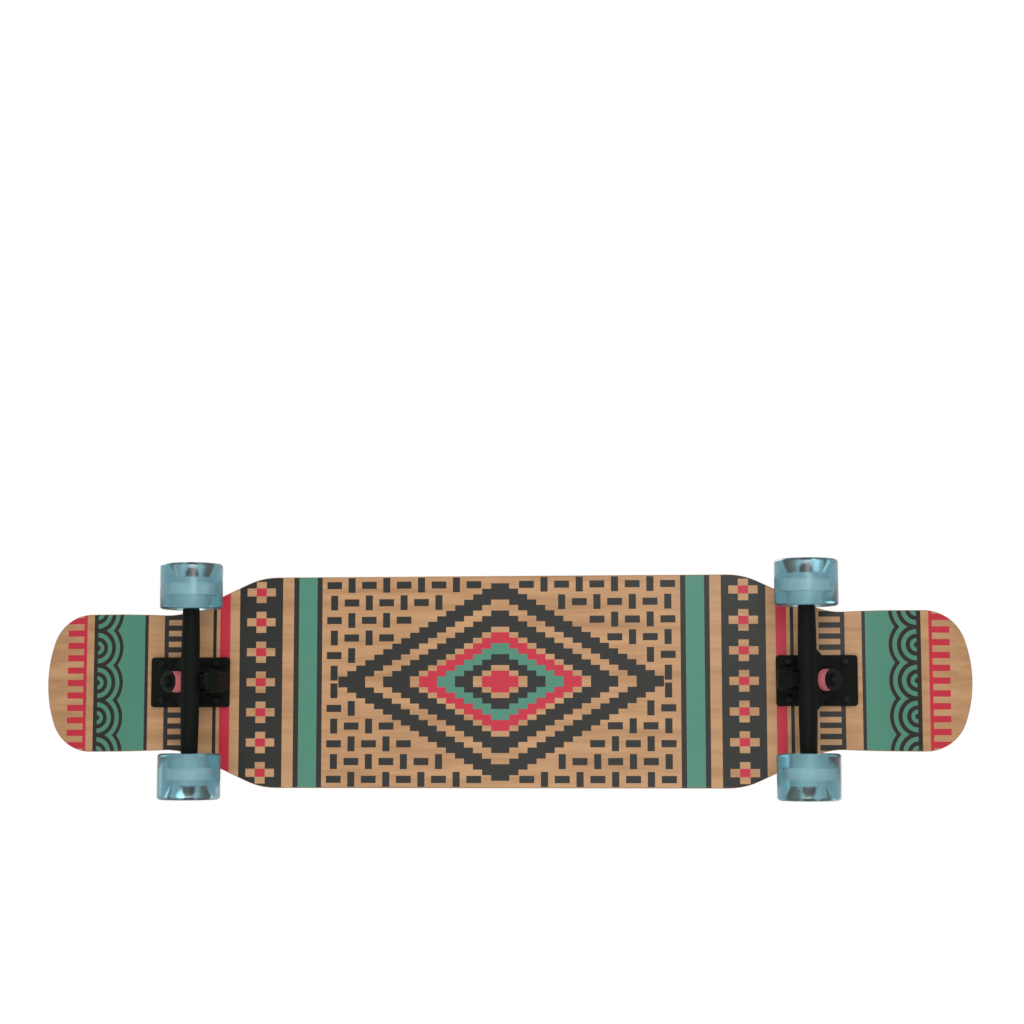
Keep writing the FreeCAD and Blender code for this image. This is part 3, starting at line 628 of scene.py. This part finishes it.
def comb(along, across, ends, pitch):
    """A row of stripes along the board, as wide as the gaps between them."""
    return along.between(*ends) * (1 - across.to_nearest(pitch).above(pitch / 4))


def print_inks(axes):
    """The print on the underside, alike at both ends and both sides: a mask for each ink."""
    along = abs(axes["x"])
    across = abs(axes["y"])
    field = 1 - along.above(FIELD_END)
    centre = {ink: mask * field for ink, mask in centre_field(along, across).items()}
    crosses = cross_band(along, across)
    scallops = scallop_band(along, across)
    black_lines = sum(along.between(*ends) for ends in BLACK_LINES)
    red_lines = sum(along.between(*ends) for ends in RED_LINES)
    black_comb = comb(along, across, BLACK_COMB, BLACK_COMB_PITCH)
    red_comb = comb(along, across, RED_COMB, RED_COMB_PITCH)
    return {
        "black": black_lines + black_comb + centre["black"] + crosses["black"] + scallops["black"],
        "teal": along.between(*TEAL_LINE) + centre["teal"] + scallops["teal"],
        "red": red_lines + red_comb + centre["red"] + crosses["red"],
    }


# The maple: its noises, how much each counts in the streaks, and the edge, ink and coat
GRAIN_NOISE = ((5.0, 75.0, 60.0), 5.0, 0.6)
FIBRE_NOISE = ((24.0, 1100.0, 900.0), 2.0)
FIGURE_NOISE = ((22.0, 7.0, 7.0), 3.0)
PORE_NOISE = ((900.0, 900.0, 250.0), 2.0)
STREAK_START = 0.40
GRAIN_SHARE = 2.2
FIBRE_SHARE = 0.5
FIGURE_SHARE = 0.6
PLY_BLUR = 0.0001
CROSS_PLY_COVER = (0.55, 0.45)
INK_COVER = 0.985
INK_FIBRE = 0.03
INK_EDGE_BLUR = 0.0002
EDGE_ROUGHNESS = 0.46
COAT_SMOOTHER = 0.12
GRAIN_ROUGHER = 0.1
DECK_SPECULAR = 0.2
FIBRE_BUMP = (0.05, 0.0002)


def deck_finish(settings):
    """Pressed maple: printed underneath, with its plies on the edge and a thin clear coat."""
    material, place = start_finish("printed_maple_deck")
    split = place.node("ShaderNodeSeparateXYZ", {}, {"Vector": place})
    axes = {"x": split, "y": split.other("Y"), "z": split.other("Z")}
    deck_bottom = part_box("deck")[0].z
    depth = axes["z"] - deck_bottom - kick_rise(settings, abs(axes["x"]))

    grain = noise(place, *GRAIN_NOISE)
    fibre = noise(place, *FIBRE_NOISE)
    figure = noise(place, *FIGURE_NOISE)
    streak = (grain - STREAK_START) * GRAIN_SHARE + (fibre - NOISE_MIDDLE) * FIBRE_SHARE
    streak = streak + (figure - NOISE_MIDDLE) * FIGURE_SHARE
    streak = place.math("ADD", streak, 0.0, clamp=True)
    face = mixed(streak, opaque(settings.maple), opaque(settings.maple_dark))

    ply = settings.deck_thickness / settings.ply_count
    in_pair = (depth + 2 * ply).math("MODULO", depth + 2 * ply, 2 * ply)
    crossed = in_pair.above(ply, PLY_BLUR)
    pores = noise(place, *PORE_NOISE)
    edge = mixed(crossed * graded(pores, *CROSS_PLY_COVER), face, opaque(settings.cross_ply))

    inks = print_inks(axes)
    cover = INK_COVER + INK_FIBRE * (fibre - NOISE_MIDDLE)
    printed = mixed(inks["black"] * cover, face, opaque(settings.black_ink))
    printed = mixed(inks["teal"] * cover, printed, opaque(settings.teal_ink))
    printed = mixed(inks["red"] * cover, printed, opaque(settings.red_ink))
    underneath = 1 - depth.above(settings.ink_depth, INK_EDGE_BLUR)
    coat = EDGE_ROUGHNESS - COAT_SMOOTHER * underneath
    end_finish(place, {
        "Base Color": mixed(underneath, edge, printed),
        "Roughness": coat + GRAIN_ROUGHER * (grain - NOISE_MIDDLE),
        "Specular IOR Level": DECK_SPECULAR,
        "Normal": bump(fibre, *FIBRE_BUMP),
    })
    return material


# How finely the turned pieces are made, and how strongly each pass smooths a casting
BUSHING_SEGMENTS = 72
BUSHING_CORNER_STEPS = 8
TYRE_SEGMENTS = 128
TYRE_CORNER_STEPS = 10
CAST_SMOOTHING = 0.5


def select_only(piece):
    """Makes a piece the one selected and active object."""
    bpy.ops.object.select_all(action="DESELECT")
    piece.select_set(True)
    bpy.context.view_layer.objects.active = piece


def dressed(piece, material, slot, body, *nodes):
    """Gives a new piece its finish and its body, in place of CAD nodes."""
    piece.data.materials.clear()
    piece.data.materials.append(material)
    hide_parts(*nodes)
    if body:
        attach(piece, body)


def rounded(corners, steps):
    """The (radius, height) points of a closed outline of (radius, height, rounding) corners."""
    points = []
    count = len(corners)
    for index, (radius, height, rounding) in enumerate(corners):
        corner = Vector((radius, height))
        if not rounding:
            points.append(corner)
            continue
        before = (Vector(corners[index - 1][:2]) - corner).normalized()
        after = (Vector(corners[(index + 1) % count][:2]) - corner).normalized()
        half_angle = before.angle(after) / 2
        tangent = rounding / math.tan(half_angle)
        centre = corner + (before + after).normalized() * (rounding / math.sin(half_angle))
        start = corner + before * tangent - centre
        end = corner + after * tangent - centre
        sweep = start.angle_signed(end)
        for step in range(steps + 1):
            turn = Matrix.Rotation(-sweep * step / steps, 2)
            points.append(centre + turn @ start)
    return points


def turned_piece(name, outline, segments):
    """A closed ring about Z, drawn out loop by loop from a circle and joined to its start."""
    bpy.ops.object.select_all(action="DESELECT")
    first = outline[0]
    bpy.ops.mesh.primitive_circle_add(vertices=segments, radius=first[0])
    piece = bpy.context.object
    piece.name = name
    piece.data.name = name
    bpy.ops.object.mode_set(mode="EDIT")
    bpy.ops.mesh.select_all(action="SELECT")
    bpy.ops.transform.translate(value=(0, 0, first[1]))
    for start, end in zip(outline, outline[1:] + outline[:1]):
        rise = (0, 0, end[1] - start[1])
        widening = end[0] / start[0]
        bpy.ops.mesh.extrude_region_move(TRANSFORM_OT_translate={"value": rise})
        bpy.ops.transform.resize(value=(widening, widening, 1))
    bpy.ops.mesh.select_all(action="SELECT")
    bpy.ops.mesh.remove_doubles(threshold=MERGE_DISTANCE)
    bpy.ops.mesh.normals_make_consistent(inside=False)
    bpy.ops.object.mode_set(mode="OBJECT")
    bpy.ops.object.shade_smooth_by_angle(angle=SHADE_ANGLE)
    return piece


def set_in_place(piece, centre, axis):
    """Turns a piece's Z to an axis, moves it to a centre and puts both into its mesh."""
    select_only(piece)
    turn = axis.to_track_quat("Z", "X").to_matrix().to_4x4()
    piece.matrix_world = Matrix.Translation(centre) @ turn
    bpy.ops.object.transform_apply(location=True, rotation=True, scale=True)


def copy_of(piece, name):
    """A copy of a piece with its own mesh."""
    select_only(piece)
    bpy.ops.object.duplicate(linked=False)
    copy = bpy.context.object
    copy.name = name
    copy.data.name = name
    return copy


def cast_copy(node, name, settings):
    """A copy of a CAD casting with the rounded edges and hollows of a sand casting."""
    copy = copy_of(frame["nodes"][node], name)
    copy.parent = None
    del copy["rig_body"]
    del copy["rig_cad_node"]
    bpy.ops.object.mode_set(mode="EDIT")
    bpy.ops.mesh.select_all(action="SELECT")
    bpy.ops.mesh.remove_doubles(threshold=MERGE_DISTANCE)
    bpy.ops.object.mode_set(mode="OBJECT")
    bpy.ops.mesh.customdata_custom_splitnormals_clear()
    skin = copy.modifiers.new("cast_skin", "REMESH")
    skin.mode = "VOXEL"
    skin.voxel_size = settings.cast_voxel
    bpy.ops.object.modifier_apply(modifier=skin.name)
    rounding = copy.modifiers.new("cast_rounding", "SMOOTH")
    rounding.factor = CAST_SMOOTHING
    rounding.iterations = settings.cast_rounding
    bpy.ops.object.modifier_apply(modifier=rounding.name)
    bpy.ops.object.shade_smooth()
    return copy


class DressDeck(bpy.types.Operator):
    """Finishes the deck and its grip tape"""

    bl_idname = "longboard.dress_deck"
    bl_label = "Deck and Grip Tape"

    def execute(self, context):
        settings = context.scene.longboard_deck
        frame["nodes"]["deck"].material_slots[0].material = deck_finish(settings)
        frame["nodes"]["grip_tape"].material_slots[0].material = grip_finish(settings)
        return {"FINISHED"}


class DressCastings(bpy.types.Operator):
    """Makes the cast baseplates and hangers"""

    bl_idname = "longboard.dress_castings"
    bl_label = "Truck Castings"

    def execute(self, context):
        settings = context.scene.longboard_truck
        finish = casting_finish(settings)
        for end in ENDS:
            for part, body in (("baseplate", "board"), ("hanger", end + "_hanger")):
                node = end + "_" + part
                piece = cast_copy(node, node + "_casting", settings)
                dressed(piece, finish, "black_casting", body, node)
        return {"FINISHED"}


class MakeBushings(bpy.types.Operator):
    """Makes the soft bushings"""

    bl_idname = "longboard.make_bushings"
    bl_label = "Bushings"

    def execute(self, context):
        settings = context.scene.longboard_truck
        finish = moulded_finish(settings.bushing, *BUSHING_MOULDING)
        far_radii = {"board": settings.bushing_radius, "road": settings.road_end_radius}
        for end in ENDS:
            joint = STEER_JOINTS[end + "_steer"]
            ring = Vector(joint["pos_m"])
            axis = Vector(joint["axis"])
            to_road = Vector((math.copysign(axis.z, ring.x), 0, -abs(axis.x)))
            for place, far_radius in far_radii.items():
                away = to_road if place == "road" else -to_road
                outline = rounded([
                    (settings.bushing_bore, 0.0, 0.0),
                    (settings.bushing_radius, 0.0, settings.bushing_edge),
                    (far_radius, settings.bushing_height, settings.bushing_edge),
                    (settings.bushing_bore, settings.bushing_height, 0.0),
                ], BUSHING_CORNER_STEPS)
                node = end + "_" + place + "_bushing"
                piece = turned_piece(node + "_urethane", outline, BUSHING_SEGMENTS)
                near = ring + away * settings.ring_seat
                set_in_place(piece, near, away)
                dressed(piece, finish, "bushing_urethane", None, node)
                far = near + away * settings.bushing_height
                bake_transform(piece)
        return {"FINISHED"}


class MakeTyres(bpy.types.Operator):
    """Makes the clear tyres"""

    bl_idname = "longboard.make_tyres"
    bl_label = "Tyres"

    def execute(self, context):
        settings = context.scene.longboard_wheel
        finish = tyre_finish(settings)
        low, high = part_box("front_left_wheel_tyre")
        radius = (high.z - low.z) / 2
        half_width = (high.y - low.y) / 2
        hub = settings.core_radius - settings.core_overlap
        hub_half = settings.core_half_width - settings.core_overlap
        ridge = settings.ridge_radius - settings.core_overlap
        ridge_half = settings.ridge_half_width - settings.core_overlap
        middle = -settings.tyre_offset
        outline = rounded([
            (radius, -half_width, settings.lip_radius),
            (radius, half_width, settings.lip_radius),
            (settings.dish_radius, half_width, settings.mouth_rounding),
            (hub, middle + hub_half, 0.0),
            (hub, middle + ridge_half, 0.0),
            (ridge, middle + ridge_half, 0.0),
            (ridge, middle - ridge_half, 0.0),
            (hub, middle - ridge_half, 0.0),
            (hub, middle - hub_half - settings.core_skirt, 0.0),
            (settings.dish_radius, -half_width, settings.mouth_rounding),
        ], TYRE_CORNER_STEPS)
        pattern = turned_piece("tyre_pattern", outline, TYRE_SEGMENTS)
        for end in ENDS:
            for side, outboard in SIDES.items():
                wheel = end + "_" + side + "_wheel"
                node = wheel + "_tyre"
                low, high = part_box(node)
                piece = copy_of(pattern, node + "_urethane")
                set_in_place(piece, (low + high) / 2, outboard)
                dressed(piece, finish, "tyre_urethane", wheel, node)
        select_only(pattern)
        bpy.ops.object.delete()
        return {"FINISHED"}


class DressFittings(bpy.types.Operator):
    """Finishes the CAD fasteners, axles, cores and bearings"""

    bl_idname = "longboard.dress_fittings"
    bl_label = "Fasteners and Bearings"

    def execute(self, context):
        truck = context.scene.longboard_truck
        wheel = context.scene.longboard_wheel
        finishes = {
            "black_steel": black_steel_finish(truck),
            "plated_steel": bright_steel_finish(truck.plated_steel, *PLATED_STEEL),
            "bearing_steel": bright_steel_finish(wheel.bearing_steel, *BEARING_STEEL),
            "cup_urethane": moulded_finish(truck.black_steel, *CUP_MOULDING),
            "core_plastic": moulded_finish(wheel.core, *CORE_MOULDING),
            "shield_steel": moulded_finish(wheel.shield, *SHIELD_MOULDING),
            "cage_nylon": moulded_finish(wheel.cage, *CAGE_MOULDING),
        }
        for row in frame["record"]["subparts"]:
            finish = finishes.get(row["material_slot"])
            if finish:
                frame["nodes"][row["node"]].material_slots[0].material = finish
        return {"FINISHED"}


# Lamps: (place, side in metres, power in watts), all aimed at the board
LAMPS = {
    "key_above": ((-1.3, -1.6, 2.3), 1.8, 34.0),
    "fill_above": ((1.6, 1.3, 2.1), 2.2, 20.0),
    "key_below": ((0.5, -0.9, -2.3), 1.2, 26.0),
    "fill_below": ((-0.1, 1.0, -2.3), 1.2, 22.0),
}
LAMP_AIM = (0, 0, 0.1)
FLOOR_CLOUD = (30.0, 3.0)
FLOOR_DULL_PATCH = 0.985
FLOOR_NEAR_WHITE = 0.45


def add_lamp(name, place, size, power):
    """A soft square lamp."""
    bpy.ops.object.light_add(type="AREA", location=place)
    lamp = bpy.context.object
    lamp.name = name
    lamp.data.size = size
    lamp.data.energy = power
    lamp.rotation_euler = (Vector(LAMP_AIM) - Vector(place)).to_track_quat("-Z", "Y").to_euler()


def floor_finish(settings):
    """A pale floor that takes shadows, fades to white far off and is clear from below."""
    material, place = start_finish("pale_floor")
    cloud = noise(place, *FLOOR_CLOUD)
    matt = place.node("ShaderNodeBsdfDiffuse", {}, {
        "Color": mixed(cloud, shaded(settings.floor, FLOOR_DULL_PATCH), opaque(settings.floor)),
    })
    white = place.node("ShaderNodeEmission", {}, {"Color": WHITE, "Strength": 1.0})
    split = place.node("ShaderNodeSeparateXYZ", {}, {"Vector": place})
    across = split.other("Y")
    distance = (split * split + across * across).root()
    fade = place.node("ShaderNodeMapRange", {"interpolation_type": "SMOOTHSTEP"}, {
        "Value": distance,
        "From Min": settings.floor_fade_start,
        "From Max": settings.floor_fade_end,
        "To Min": FLOOR_NEAR_WHITE,
    })
    shown = place.node("ShaderNodeMixShader", {}, {0: fade, 1: matt, 2: white})
    path = place.node("ShaderNodeLightPath", output="Is Shadow Ray")
    below = place.node("ShaderNodeNewGeometry", output="Backfacing")
    through = below.at_least(path)
    through = through.at_least(path.other("Is Diffuse Ray")).at_least(path.other("Is Glossy Ray"))
    clear = place.node("ShaderNodeBsdfTransparent")
    surface = place.node("ShaderNodeMixShader", {}, {0: through, 1: shown, 2: clear})
    place.node("ShaderNodeOutputMaterial", {}, {"Surface": surface})
    return material


def white_world(settings):
    """White for the camera, for gloss and for clear urethane, and softer light for the rest."""
    world = bpy.data.worlds.new("studio")
    path = first_signal(world, "ShaderNodeLightPath", "Is Camera Ray")
    shown = path.at_least(path.other("Is Glossy Ray")).at_least(path.other("Is Transmission Ray"))
    strength = shown + settings.ambient * (1 - shown)
    light = path.node("ShaderNodeBackground", {}, {"Color": WHITE, "Strength": strength})
    path.node("ShaderNodeOutputWorld", {}, {"Surface": light})
    return world


class MakeStage(bpy.types.Operator):
    """Makes the floor, the light and the camera"""

    bl_idname = "longboard.make_stage"
    bl_label = "Stage"

    def execute(self, context):
        settings = context.scene.longboard_stage
        bpy.ops.object.select_all(action="DESELECT")
        bpy.ops.mesh.primitive_plane_add(size=settings.floor_size)
        floor = context.object
        floor.name = "floor"
        floor.data.materials.append(floor_finish(settings))

        for name, (place, size, power) in LAMPS.items():
            add_lamp(name, place, size, power)
        context.scene.world = white_world(settings)

        bpy.ops.object.camera_add(location=settings.camera_place, rotation=settings.camera_turn)
        camera = context.object
        camera.name = "main_camera"
        camera.data.angle = settings.camera_angle
        context.scene.camera = camera
        context.scene.view_settings.view_transform = "Standard"
        return {"FINISHED"}


OPERATORS = (DressDeck, DressCastings, MakeBushings, MakeTyres, DressFittings, MakeStage)
SETTINGS = {
    "longboard_deck": DeckSettings,
    "longboard_truck": TruckSettings,
    "longboard_wheel": WheelSettings,
    "longboard_stage": StageSettings,
}


class LongboardPanel(bpy.types.Panel):
    """Lists the steps that dress the longboard"""

    bl_idname = "VIEW3D_PT_longboard"
    bl_label = "Longboard"
    bl_space_type = "VIEW_3D"
    bl_region_type = "UI"
    bl_category = "Longboard"

    def draw(self, context):
        for operator in OPERATORS:
            self.layout.operator(operator.bl_idname)


CLASSES = (*SETTINGS.values(), *OPERATORS, LongboardPanel)


def register():
    for cls in CLASSES:
        bpy.utils.register_class(cls)
    for name, group in SETTINGS.items():
        setattr(bpy.types.Scene, name, PointerProperty(type=group))


def unregister():
    for name in SETTINGS:
        delattr(bpy.types.Scene, name)
    for cls in reversed(CLASSES):
        bpy.utils.unregister_class(cls)


def main():
    """Dresses the whole board."""
    register()
    bpy.ops.longboard.dress_deck()
    bpy.ops.longboard.dress_castings()
    bpy.ops.longboard.make_bushings()
    bpy.ops.longboard.make_tyres()
    bpy.ops.longboard.dress_fittings()
    bpy.ops.longboard.make_stage()


if __name__ == "__main__":
    main()
